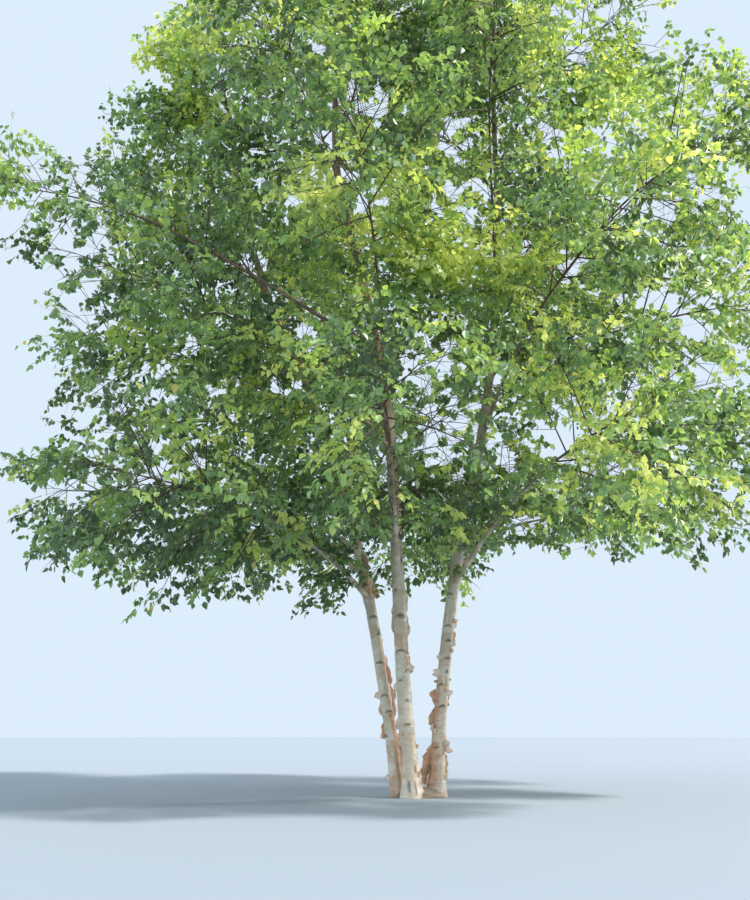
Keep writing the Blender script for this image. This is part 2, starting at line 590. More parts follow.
def in_space(order, points, margin):
    """Whether each point lies in the space with its order, by that margin."""
    points = np.atleast_2d(points)
    order = np.broadcast_to(np.atleast_1d(order), (len(points),))
    squares = ((points[:, None] - SPACE_CENTRES[None]) ** 2).sum(-1)
    power = squares - SPACE_RADII ** 2
    rows = np.arange(len(points))
    own = power[rows, order]
    apart = 2 * np.linalg.norm(SPACE_CENTRES[order][:, None] - SPACE_CENTRES[None], axis=-1)
    apart[rows, order] = 1
    gaps = (power - own[:, None]) / apart
    gaps[rows, order] = np.inf
    inside = np.sqrt(squares[rows, order]) <= SPACE_RADII[order] - margin
    return inside & (points[:, 2] <= TREE_HEIGHT) & (gaps > margin).all(-1)


def room_along(order, start, way):
    """How far a line runs before it leaves the space."""
    steps = PROBE.step * np.arange(1, PROBE.count)
    inside = in_space(order, start + way * steps[:, None], SPACE_MARGIN)
    return PROBE.step * (len(inside) if inside.all() else int(np.argmin(inside)))


def in_heart(points, margin):
    """Whether points lie in the middle of the crown, in the ball of a mass or in a fill."""
    kept = (points[:, 2] > HEART.low) & (points[:, 2] < HEART.high)
    kept &= np.hypot(points[:, 0] - HEART.x, points[:, 1]) < HEART.reach
    for centre, radius in [*zip(SPACE_CENTRES, SPACE_RADII), *[fill[:2] for fill in FILLS]]:
        kept |= np.linalg.norm(points - np.array(centre), axis=1) < radius - margin
    return kept


def in_box(points, margin):
    """Whether points keep to the solids' box, give or take a little."""
    low, high = np.array(CAD_BOX) * METRE
    spare = BOX_SPARE * (high - low)
    return ((points > low - spare + margin) & (points < high + spare - margin)).all(-1)


def in_own_space(mass, points, margin, block=20000):
    """Whether points keep to the space of their mass, a block at a time, or to where the others may grow."""
    kept = in_heart(points, margin) | ((mass == LOW) & (points[:, 2] > LOW_FLOOR))
    for i in range(0, len(points), block):
        rows = slice(i, i + block)
        kept[rows] = np.where(mass[rows] < 0, kept[rows], in_space(mass[rows], points[rows], margin))
    return kept & in_box(points, margin)


# Boughs and spines


def bough_curve(order, label):
    stem, fork = MASSES[label][:2]
    centre = SPACE_CENTRES[order]
    root = STEM_LINES[stem].at(fork)
    span = np.linalg.norm(centre - root)
    outward = unit((centre - root) * [1, 1, 0])
    share = (fork - BOUGH.lowest_fork) / (BOUGH.highest_fork - BOUGH.lowest_fork)
    climb = BOUGH.lowest_climb + share * (BOUGH.highest_climb - BOUGH.lowest_climb)
    if label in OWN_CLIMBS:
        climb = OWN_CLIMBS[label]
    climb = math.radians(climb)
    leave = outward * math.cos(climb) + UP * math.sin(climb)
    rising = max(0, (centre[2] - root[2]) / span)
    arrive = unit(outward + UP * (rising * BOUGH.rise - BOUGH.drop))
    return Bezier(
        root, root + leave * BOUGH.climb_run * span, centre - arrive * BOUGH.level_run * span, centre
    )


BOUGH_LINES = {label: bough_curve(order, label) for order, label in enumerate(MASSES)}


def entry_share(order, label):
    """How far along its bough a mass begins."""
    t = ENTRY.first
    while t < ENTRY.last:
        if in_space(order, BOUGH_LINES[label].point(t), ENTRY.margin)[0]:
            return t
        t += ENTRY.step
    return ENTRY.last


def bough_radius(stem, fork):
    base = max(BOUGH.least_base, BOUGH.base_share * float(stem_radius(stem, fork)))
    return lambda t: base * (
        1 + (BOUGH.tip_share - 1) * t + BOUGH.collar_gain * np.exp(-t / BOUGH.collar_reach)
    )


def spine_from(order, label):
    """The spine of a mass, and the radius that it starts with."""
    if label in MASSES:
        host, share = BOUGH_LINES[label], entry_share(order, label)
        radius = float(bough_radius(*MASSES[label][:2])(1))
    else:
        stem = LEADERS[label][0]
        host, share = STEM_LINES[stem], 1
        radius = float(stem_radius(stem, host.point(1)[2]))
    way = host.tangent(share)
    start = host.point(share) + way * CLEAR
    centre = SPACE_CENTRES[order]
    outward = unit(centre * [1, 1, 0])
    onward = unit(way * SPINE.along + outward * SPINE.outward)
    room = room_along(order, centre, onward)
    end = centre + onward * room * SPINE.beyond - UP * SPINE.sag * room
    return Bezier(start, start + way * SPINE.run * np.linalg.norm(end - start), end), radius


SPINES = [spine_from(order, label) for order, label in enumerate(LABELS)]


# Twigs


def turned(vector, axis, angle):
    cos, sin = math.cos(angle), math.sin(angle)
    return vector * cos + np.cross(axis, vector) * sin + axis * np.dot(axis, vector) * (1 - cos)


def twig_way(host_way, turn, spread):
    across = turned(unit(np.cross(host_way, UP)), host_way, turn)
    return host_way * math.cos(spread) + across * math.sin(spread)


def twig_places(order):
    """Share along the spine, turn round it and wider spread of the rule's twigs, and of more in between."""
    random = Seeded(TWIG.seed + TWIG.seed_step * order)
    places = []
    for k in range(TWIG.count):
        share = TWIG.first + (TWIG.last - TWIG.first) * k / (TWIG.count - 1)
        places.append((share, math.radians(GOLDEN_ANGLE * k + TWIG.turn * random()), 0))
    more = np.random.default_rng(EXTRA.seed + order)
    for k in range(EXTRA.count):
        share = EXTRA.first + EXTRA.run * (k + more.random()) / EXTRA.count
        wider = more.uniform(*EXTRA.wider) * (1 - EXTRA.wider_fade * share)
        turn = GOLDEN_ANGLE * (k + 0.5) + EXTRA.turn * more.random()
        places.append((share, math.radians(turn), wider))
    return places


def twigs_of(order, spine):
    """Foot and end of the twigs on a spine, and of the one that carries it on."""
    ways = []
    for share, turn, wider in twig_places(order):
        spread = math.radians(TWIG.spread - TWIG.narrowing * share + wider)
        ways.append((share, twig_way(spine.tangent(share), turn, spread), TWIG.least))
    ways.append((1, spine.tangent(1), TWIG.least_tip))
    twigs = []
    for share, way, least in ways:
        root = spine.point(share)
        length = room_along(order, root, way) - TWIG.margin
        if length > least:
            twigs.append((root, root + way * length))
    return twigs


def inner_twig(curve, t, turn, share, rng):
    """A twig in the middle of the crown, shorter until it fits, in a list that is empty if it never does."""
    low, high = INNER_TWIGS.length
    spread = math.radians(INNER_TWIGS.spread + rng.normal(0, INNER_TWIGS.spread_noise))
    way = unit(twig_way(curve.tangent(t), turn, spread) + UP * INNER_TWIGS.rise)
    length = rng.uniform(low, high) * (1 - INNER_TWIGS.fade * share)
    root = curve.point(t)
    while length > INNER_TWIGS.least:
        if in_heart((root + way * length)[None], INNER_TWIGS.margin)[0]:
            return [(root, root + way * length)]
        length *= INNER_TWIGS.shortening
    return []


def inner_twigs():
    """Twigs on the boughs before they enter their masses, and on the upper stems."""
    rng = np.random.default_rng(INNER_TWIGS.seed)
    twigs = []
    for order, label in enumerate(MASSES):
        entry = entry_share(order, label)
        for j in range(INNER_TWIGS.per_bough):
            share = INNER_TWIGS.first + (1 - INNER_TWIGS.first) * j / INNER_TWIGS.per_bough
            turn = math.radians(GOLDEN_ANGLE * j + INNER_TWIGS.bough_turn * order)
            twigs += inner_twig(BOUGH_LINES[label], entry * share, turn, share, rng)
    for line in STEM_LINES.values():
        foot, top = INNER_TWIGS.foot, line.point(1)[2]
        for j, height in enumerate(np.arange(foot, top - INNER_TWIGS.below_top, INNER_TWIGS.step)):
            turn = math.radians(GOLDEN_ANGLE * j)
            twigs += inner_twig(line, line.share_at(height), turn, (height - foot) / top, rng)
    return twigs


def fill_twigs():
    """Twigs from the nearest points of the spines and boughs to places in the fills."""
    rng = np.random.default_rng(FILL.seed)
    hosts = [spine.places(np.linspace(0, 1, SPINE.rings)) for spine, _ in SPINES]
    hosts += [line.places(np.linspace(FILL.first, 1, FILL.places)) for line in BOUGH_LINES.values()]
    hosts = np.concatenate(hosts)
    twigs = []
    for centre, radius, count in FILLS:
        for _ in range(count):
            end = np.array(centre) + unit(rng.normal(0, 1, 3)) * radius * rng.uniform(*FILL.out)
            cost = np.linalg.norm(hosts - end, axis=1) + FILL.climb_cost * np.abs(hosts[:, 2] - end[2])
            near = np.argsort(cost)[rng.integers(0, FILL.nearest)]
            twigs.append((hosts[near], end))
    return twigs


def low_twigs():
    twigs = []
    for name, height, azimuth, reach, drop in LOW_TWIGS:
        root = STEM_LINES[name].at(height)
        twigs.append((root, root + place_of(azimuth, reach, -drop)))
    return twigs


def all_twigs():
    """Foot, end and mass of every twig that is still long enough when it ends outside the gaps."""
    found = [twigs_of(order, spine) for order, (spine, _) in enumerate(SPINES)]
    found += [inner_twigs() + fill_twigs(), low_twigs()]
    mass = np.repeat([*range(len(SPINES)), INNER, LOW], [len(twigs) for twigs in found])
    roots, ends = (places.copy() for places in np.concatenate(found).transpose(1, 0, 2))
    for _ in range(GAP_CUTS.twig_times):
        inside = in_sky_gap(ends) | in_sky_gap(roots + (ends - roots) * GAP_CUTS.near_end)
        draw_in(roots, ends, inside, GAP_CUTS.twig)
    kept = np.linalg.norm(ends - roots, axis=1) > GAP_CUTS.least
    return only({"root": roots, "end": ends, "mass": mass}, kept)


# Where the picture shows sky, stems and boughs


def seen_from_camera(points):
    """Where points fall in the picture, in pixels."""
    metres = points * MM
    pitch = math.radians(CAMERA.pitch)
    dx, dy, dz = metres[:, 0] - CAMERA.x, metres[:, 1] - CAMERA.y, metres[:, 2] - CAMERA.z
    ahead = dy * math.cos(pitch) + dz * math.sin(pitch)
    above = -dy * math.sin(pitch) + dz * math.cos(pitch)
    return MIDDLE[0] + FOCAL * dx / ahead, MIDDLE[1] - FOCAL * above / ahead


def away(u, v, place):
    """How far pixels lie from the middle of a place: less than 1 is inside it."""
    cu, cv, ru, rv, *_ = place
    return ((u - cu) / ru) ** 2 + ((v - cv) / rv) ** 2


def in_any(points, places):
    u, v = seen_from_camera(points)
    found = np.zeros(len(points), bool)
    for place in places:
        found |= away(u, v, place) < 1
    return found


def in_sky_gap(points):
    return in_any(points, SKY_GAPS)


def thinned(points):
    """Whether points lie in the small gaps between the leaves."""
    u, v = seen_from_camera(points)
    open_share = np.zeros(len(points))
    for place in THIN_PLACES:
        falling = np.exp(-THIN_GRAIN.fall * away(u, v, place) ** 2)
        open_share = np.maximum(open_share, place[-1] * falling)
    (wide, tall), cell = THIN_GRAIN.size, THIN_GRAIN.cell
    cells = (wide // cell + THIN_GRAIN.spare, tall // cell + THIN_GRAIN.spare)
    grid = np.random.default_rng(THIN_GRAIN.seed).uniform(-1, 1, cells)
    noise = blended(grid, np.clip(u, 0, wide - 2) / cell, np.clip(v, 0, tall - 2) / cell)
    grain = 0.5 + 0.5 * THIN_GRAIN.spread * noise
    return (open_share > grain) & (open_share > THIN_GRAIN.least)


def hides_stem(points):
    """Whether points lie in front of the part of a stem that is to be seen."""
    return in_any(points, OPEN_STEM) & (points[:, 1] < NEAR_LEAVES)


def hides_bough(points):
    """Whether points lie in front of the part of a bough that is to be seen."""
    u, v = seen_from_camera(points)
    hides = np.zeros(len(points), bool)
    for label, first, last in OPEN_BOUGHS:
        line = BOUGH_LINES[label].places(np.linspace(first, last, OPEN_BOUGH.places))
        for x, y, depth in zip(*seen_from_camera(line), line[:, 1]):
            hides |= (np.hypot(u - x, v - y) < OPEN_BOUGH.reach) & (points[:, 1] < depth)
    return hides


def draw_in(roots, ends, inside, share):
    """Shorten what ends inside a gap to a share of its length."""
    ends[inside] = roots[inside] + (ends - roots)[inside] * share


def near_stem(points, room):
    near = np.zeros(len(points), bool)
    for name, line in STEM_LINES.items():
        for at in line.places(np.linspace(NEAR_STEM.first, 1, NEAR_STEM.places)):
            reach = float(stem_radius(name, at[2])) + room
            level = np.abs(points[:, 2] - at[2]) < NEAR_STEM.half
            near |= level & (np.hypot(points[:, 0] - at[0], points[:, 1] - at[1]) < reach)
    return near


# Tubes: lines of the same number of points as closed skins that end in a point


def frames_along(lines):
    ways = np.empty_like(lines)
    ways[:, :-1] = lines[:, 1:] - lines[:, :-1]
    ways[:, -1] = ways[:, -2]
    ways[:, 1:-1] = lines[:, 2:] - lines[:, :-2]
    ways = unit(ways)
    side = unit(np.cross(ways, UP + ASKEW))
    return side, np.cross(ways, side)


def tubes(lines, radii, sides=3):
    """Vertices and triangles. lines is (n, k, 3) and radii is (n, k)."""
    n, k = lines.shape[:2]
    side, other = frames_along(lines)
    angles = angles_round(sides)
    ring = side[:, :, None] * np.cos(angles)[None, None, :, None]
    ring = ring + other[:, :, None] * np.sin(angles)[None, None, :, None]
    points = lines[:, :-1, None] + ring[:, :-1] * radii[:, :-1, None, None]
    points = np.concatenate([points.reshape(n, -1, 3), lines[:, -1:]], axis=1)
    pattern = []
    for r in range(k - 2):
        for s in range(sides):
            a, b = r * sides + s, r * sides + (s + 1) % sides
            pattern += [(a, b, b + sides), (a, b + sides, a + sides)]
    last = (k - 2) * sides
    pattern += [(last + s, last + (s + 1) % sides, last + sides) for s in range(sides)]
    pattern += [(0, s + 1, s) for s in range(1, sides - 1)]
    triangles = np.array(pattern)[None] + (np.arange(n) * points.shape[1])[:, None, None]
    return points.reshape(-1, 3), triangles.reshape(-1, 3)


def bowed(root, end, lift, share):
    """Places on a line that rises a little between its ends."""
    middle = (root + end) / 2 + lift
    return root * (1 - share) ** 2 + middle * 2 * share * (1 - share) + end * share ** 2


def bowed_lines(roots, ends, lift, count):
    lengths = np.linalg.norm(ends - roots, axis=1)[:, None, None]
    shares = np.linspace(0, 1, count)[None, :, None]
    return bowed(roots[:, None], ends[:, None], UP * lift * lengths, shares)


def joined(parts):
    points, triangles, start = [], [], 0
    for p, t in parts:
        points.append(p)
        triangles.append(t + start)
        start += len(p)
    return np.concatenate(points), np.concatenate(triangles)


def mesh_object(name, points, triangles, material, smooth=False, **values):
    """A piece that rides on the one body, with a number for each of its points under each given name."""
    mesh = bpy.data.meshes.new(name)
    mesh.vertices.add(len(points))
    mesh.vertices.foreach_set("co", (np.asarray(points) * MM).astype(np.float32).ravel())
    mesh.loops.add(triangles.size)
    mesh.loops.foreach_set("vertex_index", triangles.astype(np.int32).ravel())
    mesh.polygons.add(len(triangles))
    mesh.polygons.foreach_set("loop_start", np.arange(0, triangles.size, 3, dtype=np.int32))
    mesh.polygons.foreach_set("use_smooth", np.full(len(triangles), smooth))
    mesh.update(calc_edges=True)
    mesh.materials.append(material)
    for key, numbers in values.items():
        mesh.attributes.new(key, "FLOAT", "POINT").data.foreach_set("value", numbers.astype(np.float32))
    piece = bpy.data.objects.new(name, mesh)
    bpy.context.scene.collection.objects.link(piece)
    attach(piece, "root")
    return piece


# Growth from twigs to leaves


def rows_on(count):
    """For so many on each host: the host of every one and its place in the row."""
    return np.repeat(np.arange(len(count)), count), np.concatenate([np.arange(c) for c in count])


def sprig_places(twigs, rng):
    """Twig, mass, share along the twig, foot, the twig's way, hand and the twig's length, in a row each."""
    rows = []
    for i, (root, end, mass) in enumerate(zip(twigs["root"], twigs["end"], twigs["mass"])):
        length = np.linalg.norm(end - root)
        count = max(2, int(length * (1 - SPRIG.first) / SPRIG.spacing))
        for j in range(count + 1):
            place = (j + SPRIG.scatter * rng.random()) / (count + SPRIG.scatter)
            share = min(SPRIG.first + (1 - SPRIG.first) * place, SPRIG.last)
            start = bowed(root, end, UP * TWIG.lift * length, share)
            rows.append((i, mass, share, *start, *unit(end - root), j % 2, length))
    return np.array(rows)


def grow_sprigs(twigs, rng):
    """Side branches of the twigs, by turns left and right, and one that carries each on."""
    rows = sprig_places(twigs, rng)
    twig, mass, share, start, way, hand, twig_length = np.split(rows, [1, 2, 3, 6, 9, 10], axis=1)
    mass, shape = mass[:, 0].astype(int), (len(rows), 1)
    plane = unit(square_to(UP + rng.normal(0, SPRIG.tilt, way.shape), way))
    side = np.cross(plane, way) * (2 * hand - 1)
    angle = np.radians(SPRIG.angle + rng.normal(0, SPRIG.angle_noise, shape))
    angle = angle * (1 - SPRIG.tip_straight * (share > SPRIG.tip))
    heading = unit(way * np.cos(angle) + side * np.sin(angle) + UP * rng.normal(*SPRIG.rise, shape))
    low, high = SPRIG.length
    length = (high + (low - high) * share) * rng.uniform(*SPRIG.vary, shape)
    length = np.minimum(length, SPRIG.of_twig * twig_length + SPRIG.over_twig)
    for _ in range(SPRIG.tries):
        kept = in_own_space(mass, start + heading * length, SPRIG.margin)
        length[~kept] *= SPRIG.shortening
    kept &= length[:, 0] > SPRIG.least
    tip = start + heading * length
    twig = twig[:, 0].astype(int)
    return only({"root": start, "tip": tip, "mass": mass, "plane": plane, "twig": twig}, kept)


def sprigs_on(twigs, rng):
    """The sprigs that keep clear of the gaps and the stems."""
    sprigs = grow_sprigs(twigs, rng)
    root, tip = sprigs["root"], sprigs["tip"]
    for _ in range(GAP_CUTS.sprig_times):
        draw_in(root, tip, thinned(tip), GAP_CUTS.sprig)
    hidden = in_sky_gap((root + tip) / 2) | in_sky_gap(tip) | thinned(tip)
    return only(sprigs, ~hidden & ~near_stem(tip, STEM_ROOM.sprig))


def grow_shoots(sprigs, rng):
    """Shoots along each sprig, alternate, and one at its tip."""
    span = sprigs["tip"] - sprigs["root"]
    length = np.linalg.norm(span, axis=1)
    count = np.maximum(2, (length / SHOOT.spacing).astype(int)) + 1
    host, step = rows_on(count)
    shape = (len(host), 1)
    share = ((step + rng.uniform(*SHOOT.places, len(host))) / count[host])[:, None]
    share[step == count[host] - 1] = 1.0
    way = unit(span)[host]
    lift = UP * SHOOT.lift * length[host][:, None]
    root = sprigs["root"][host] + span[host] * share + lift * 4 * share * (1 - share)
    plane = sprigs["plane"][host] + rng.normal(0, SHOOT.tilt, way.shape)
    normal = unit(square_to(plane, way))
    angle = np.radians(SHOOT.angle + rng.normal(0, SHOOT.angle_noise, shape))
    angle[share[:, 0] == 1.0] *= SHOOT.tip_angle
    side = np.cross(normal, way) * np.where(step % 2, 1.0, -1.0)[:, None]
    heading = unit(way * np.cos(angle) + side * np.sin(angle) - UP * rng.uniform(*SHOOT.droop, shape))
    reach = rng.uniform(*SHOOT.length, len(host)) * (SHOOT.near - SHOOT.fade * share[:, 0])
    return {"root": root, "heading": heading, "reach": reach, "normal": normal, "sprig": host}


def shoots_on(sprigs, rng):
    """The shoots that keep clear of the gaps and the stems."""
    shoots = grow_shoots(sprigs, rng)
    root, heading, reach = shoots["root"], shoots["heading"], shoots["reach"][:, None]
    beyond = root + heading * (reach + SHOOT.beyond)
    kept = in_own_space(sprigs["mass"][shoots["sprig"]], beyond, SHOOT.margin)
    middle = root + heading * reach * 0.5
    kept &= ~in_sky_gap(middle) & ~thinned(middle)
    kept &= ~near_stem(root + heading * reach, STEM_ROOM.shoot)
    return only(shoots, kept)


def grow_leaves(shoots, rng):
    """The shoot, frame and length of every leaf."""
    reach, heading = shoots["reach"], shoots["heading"]
    count = np.clip(np.round(reach / LEAF.spacing).astype(int), LEAF.fewest, LEAF.most)
    host, step = rows_on(count)
    shape = (len(host), 3)
    share = ((step + LEAF.first) / (count[host] - LEAF.last))[:, None]
    hand = np.where(step % 2, 1.0, -1.0)[:, None]
    hand[step == count[host] - 1] = 0
    way = heading[host]
    face = unit(square_to(shoots["normal"][host], way))
    side = np.cross(face, way) * hand
    droop = UP * LEAF.droop * rng.uniform(*LEAF.droop_spread, (len(host), 1))
    along = way * LEAF.onward + side * LEAF.aside - droop
    along = unit(along + rng.normal(0, LEAF.scatter, shape))
    up = unit(square_to(face + UP * LEAF.rise + rng.normal(0, LEAF.scatter, shape), along))
    size = LEAF.length * rng.uniform(*LEAF.vary, len(host))
    foot = shoots["root"][host] + way * reach[host][:, None] * np.minimum(share, 1)
    return {"shoot": host, "foot": foot, "along": along, "side": np.cross(up, along), "up": up, "size": size}


def leaves_on(shoots, sprigs, rng):
    """The leaves that keep clear of the gaps and of the limbs that are to be seen, within the budget."""
    leaves = grow_leaves(shoots, rng)
    leaves["sprig"] = shoots["sprig"][leaves["shoot"]]
    foot, along, size = leaves["foot"], leaves["along"], leaves["size"][:, None]
    tip, middle = foot + along * size, foot + along * size / 2
    kept = in_own_space(sprigs["mass"][leaves["sprig"]], tip, LEAF.margin)
    kept &= ~near_stem(tip, STEM_ROOM.leaf) & ~thinned(middle)
    kept &= ~hides_stem(middle) & ~hides_bough(middle) & ~hides_bough(tip)
    over = kept.sum() / LEAF.budget
    if over > 1:
        kept &= rng.random(len(kept)) < 1 / over
    return only(leaves, kept)


def leaf_mesh(leaves):
    shape = LEAF_SHAPE[None] * leaves["size"][:, None, None]
    points = (
        leaves["foot"][:, None] + leaves["along"][:, None] * shape[..., 0:1]
        + leaves["side"][:, None] * shape[..., 1:2] * LEAF.width + leaves["up"][:, None] * shape[..., 2:3]
    )
    triangles = LEAF_FACES[None] + (np.arange(len(shape)) * len(LEAF_SHAPE))[:, None, None]
    return points.reshape(-1, 3), triangles.reshape(-1, 3)


def patches(places):
    """A smooth value from about -1 to 1, in patches of half a metre or more."""
    rng = np.random.default_rng(PATCHES.seed)
    total = np.zeros(len(places))
    for _ in range(PATCHES.waves):
        wave = unit(rng.normal(0, 1, 3)) * TURN / rng.uniform(*PATCHES.length)
        total += np.sin(places @ wave + rng.uniform(0, PATCHES.shift))
    return total / PATCHES.even


def sprig_tints(sprigs, rng):
    """A tint for every spray, from 0, deepest, to 6, lightest."""
    middle = (sprigs["root"] + sprigs["tip"]) / 2
    crown = (middle - CROWN.middle) / CROWN.half
    outward = np.linalg.norm(crown, axis=1) - TINT.turning_point
    score = TINT.base + TINT.lit * (crown @ unit(SUNS["key"][0])) + TINT.outward * outward
    score = score + TINT.patches * patches(middle) + rng.normal(0, TINT.noise, len(middle))
    u, v = seen_from_camera(middle)
    near = 1 - eased(middle[:, 1], *TINT.near)
    for cu, cv, ru, rv, steps in SUNNY_PLACES:
        score += steps * near * np.exp(-((u - cu) / ru) ** 2 - ((v - cv) / rv) ** 2)
    return np.clip(np.round(score), 0, TURNING - 1).astype(int)


def leaf_tints(leaves, sprigs, rng):
    """A tint for every leaf: its spray's, or one step from it, and for a few the one that has turned."""
    tint = sprig_tints(sprigs, rng)[leaves["sprig"]]
    step = rng.choice([-1, 0, 1], len(tint), p=TINT.steps)
    tint = np.clip(tint + step, 0, TURNING - 1)
    tint[rng.random(len(tint)) < TINT.turned] = TURNING
    return tint


def with_more_than(least, bearers, count):
    """Which of so many are named that often."""
    return np.bincount(bearers, minlength=count) > least


def build_wood(twigs, sprigs, shoots, leaves):
    """The twigs, sprigs and shoots that bear leaves."""
    leafy = with_more_than(3, leaves["sprig"], len(sprigs["root"]))
    shoots = only(shoots, with_more_than(0, leaves["shoot"], len(shoots["root"])))
    twigs = only(twigs, with_more_than(0, sprigs["twig"][leafy], len(twigs["root"])))
    sprigs = only(sprigs, leafy)
    root, heading, reach = shoots["root"], shoots["heading"], shoots["reach"][:, None]
    shoot_lines = np.stack([root - heading * SHOOT.sunk, root + heading * reach], axis=1)
    lengths = np.linalg.norm(twigs["end"] - twigs["root"], axis=1)
    twig_lines = bowed_lines(twigs["root"], twigs["end"], TWIG.lift, TWIG.rings)
    sprig_lines = bowed_lines(sprigs["root"], sprigs["tip"], SPRIG.lift, len(SPRIG.thick))
    thick = np.linspace(*TWIG.thick, TWIG.rings)[None]
    thick = thick * np.clip(lengths / TWIG.full_length, *TWIG.thinner)[:, None]
    sprig_radii = np.tile(np.array(SPRIG.thick), (len(sprig_lines), 1))
    wood = joined([tubes(twig_lines, thick), tubes(sprig_lines, sprig_radii)])
    young = tubes(shoot_lines, np.full((len(root), 2), SHOOT.thick))
    for name, mesh, bark in (("twigs", wood, "bark_twig"), ("shoots", young, "bark_shoot")):
        piece = mesh_object(name, *mesh, wood_material(bark), smooth=True)
        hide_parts(*FOLIAGE_NODES)


def build_leaves(leaves, tint):
    for i, (name, (face, through, share, slot)) in enumerate(TINTS.items()):
        material = leaf_material(name, face, through, share)
        piece = mesh_object(name, *leaf_mesh(only(leaves, tint == i)), material)
        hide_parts(*FOLIAGE_NODES)


def build_foliage():
    rng = np.random.default_rng(FOLIAGE_SEED)
    twigs = all_twigs()
    sprigs = sprigs_on(twigs, rng)
    shoots = shoots_on(sprigs, rng)
    leaves = leaves_on(shoots, sprigs, rng)
    build_wood(twigs, sprigs, shoots, leaves)
    build_leaves(leaves, leaf_tints(leaves, sprigs, rng))


# Materials


def srgb(text):
    values = [int(text[i:i + 2], 16) / 255 for i in (1, 3, 5)]
    return (*[v / 12.92 if v <= 0.04045 else ((v + 0.055) / 1.055) ** 2.4 for v in values], 1)


class Shader:
    """Short ways to add nodes to a material."""

    def __init__(self, name, roughness):
        self.material = bpy.data.materials.new(name)
        self.material.use_nodes = True
        self.nodes, self.links = self.material.node_tree.nodes, self.material.node_tree.links
        self.nodes.clear()
        self.output = self.nodes.new("ShaderNodeOutputMaterial")
        self.surface = self.node("ShaderNodeBsdfPrincipled", Roughness=roughness)
        self.links.new(self.surface.outputs[0], self.output.inputs[0])

    def node(self, kind, **inputs):
        node = self.nodes.new(kind)
        for key, value in inputs.items():
            self.put(node.inputs[key], value)
        return node

    def put(self, socket, value):
        if isinstance(value, bpy.types.NodeSocket):
            self.links.new(value, socket)
        else:
            socket.default_value = value

    def paint(self, colour):
        self.put(self.surface.inputs["Base Color"], colour)

    def value(self, name):
        node = self.nodes.new("ShaderNodeAttribute")
        node.attribute_name = name
        return node.outputs["Fac"]

    def place(self):
        return self.nodes.new("ShaderNodeTexCoord").outputs["Object"]

    def noise(self, scale, stretch, detail):
        """Noise in the object's own space, finer along the axes with a larger stretch."""
        place = self.node("ShaderNodeMapping", Vector=self.place(), Scale=stretch).outputs[0]
        values = {"Vector": place, "Scale": scale, "Detail": detail, "Roughness": ROUGHNESS.noise}
        return self.node("ShaderNodeTexNoise", **values).outputs["Fac"]

    def ramp(self, source, low, high):
        node = self.node("ShaderNodeMapRange", Value=source)
        node.interpolation_type = "SMOOTHSTEP"
        node.inputs["From Min"].default_value = low
        node.inputs["From Max"].default_value = high
        return node.outputs["Result"]

    def pattern(self, scale, stretch, detail, low, high):
        return self.ramp(self.noise(scale, stretch, detail), low, high)

    def height(self, low, high):
        split = self.node("ShaderNodeSeparateXYZ", Vector=self.place())
        return self.ramp(split.outputs["Z"], low, high)

    def times(self, first, second):
        node = self.nodes.new("ShaderNodeMath")
        node.operation = "MULTIPLY"
        self.put(node.inputs[0], first)
        self.put(node.inputs[1], second)
        return node.outputs[0]

    def mix(self, share, first, second):
        """Two colours, as text or as sockets."""
        node = self.nodes.new("ShaderNodeMix")
        node.data_type = "RGBA"
        self.put(node.inputs["Factor"], share)
        for socket, colour in ((6, first), (7, second)):
            self.put(node.inputs[socket], srgb(colour) if isinstance(colour, str) else colour)
        return node.outputs[2]

    def let_light_through(self, share, colour):
        light = self.node("ShaderNodeBsdfTranslucent", Color=srgb(colour))
        mix = self.nodes.new("ShaderNodeMixShader")
        mix.inputs[0].default_value = share
        self.links.new(self.surface.outputs[0], mix.inputs[1])
        self.links.new(light.outputs[0], mix.inputs[2])
        self.links.new(mix.outputs[0], self.output.inputs[0])

    def bump(self, source, strength, distance):
        node = self.node("ShaderNodeBump", Strength=strength, Distance=distance, Height=source)
        self.links.new(node.outputs[0], self.surface.inputs["Normal"])


def bark_material(name):
    """Papery bark: pale sheets over tan ones, bare cinnamon skin, dark scars and short dark dashes."""
    pale, tan, bare, deep, dark, through = BARKS[name]
    shader = Shader(name, ROUGHNESS.bark)
    peeled = shader.value("peeled")
    edge = shader.times(shader.ramp(peeled, *PEELED_EDGE[0]), shader.ramp(peeled, *PEELED_EDGE[1]))
    patterns = {key: shader.pattern(*values) for key, values in BARK_PATTERNS.items()}
    skin = shader.mix(patterns["skin"], bare, deep)
    ruddy = shader.mix(patterns["ruddy"], *RUDDY)
    colour = shader.mix(patterns["sheets"], pale, tan)
    places = {
        **patterns, "torn": shader.times(edge, patterns["torn"]), "peeled": peeled,
        "bare": shader.value("bare"), "scar": shader.value("scar"),
    }
    colours = {**MARK_COLOURS, "peeled": tan, "bare": skin, "scar": dark}
    for layer, share in BARK_LAYERS.items():
        colour = shader.mix(shader.times(places[layer], share), colour, colours[layer])
    colour = shader.mix(shader.height(*RUDDY_HEIGHTS), colour, ruddy)
    shader.paint(shader.mix(shader.height(*DARK_HEIGHTS), colour, DARK_TOP))
    grain, strength, distance = BARK_BUMP
    shader.bump(shader.noise(*grain), strength, distance)
    if through:
        shader.let_light_through(*through)
    return shader.material


def leaf_material(name, colour, through, share):
    shader = Shader(name, LEAF_GLOSS.roughness)
    shader.paint(srgb(colour))
    shader.surface.inputs["Specular IOR Level"].default_value = LEAF_GLOSS.specular
    shader.let_light_through(share, through)
    return shader.material


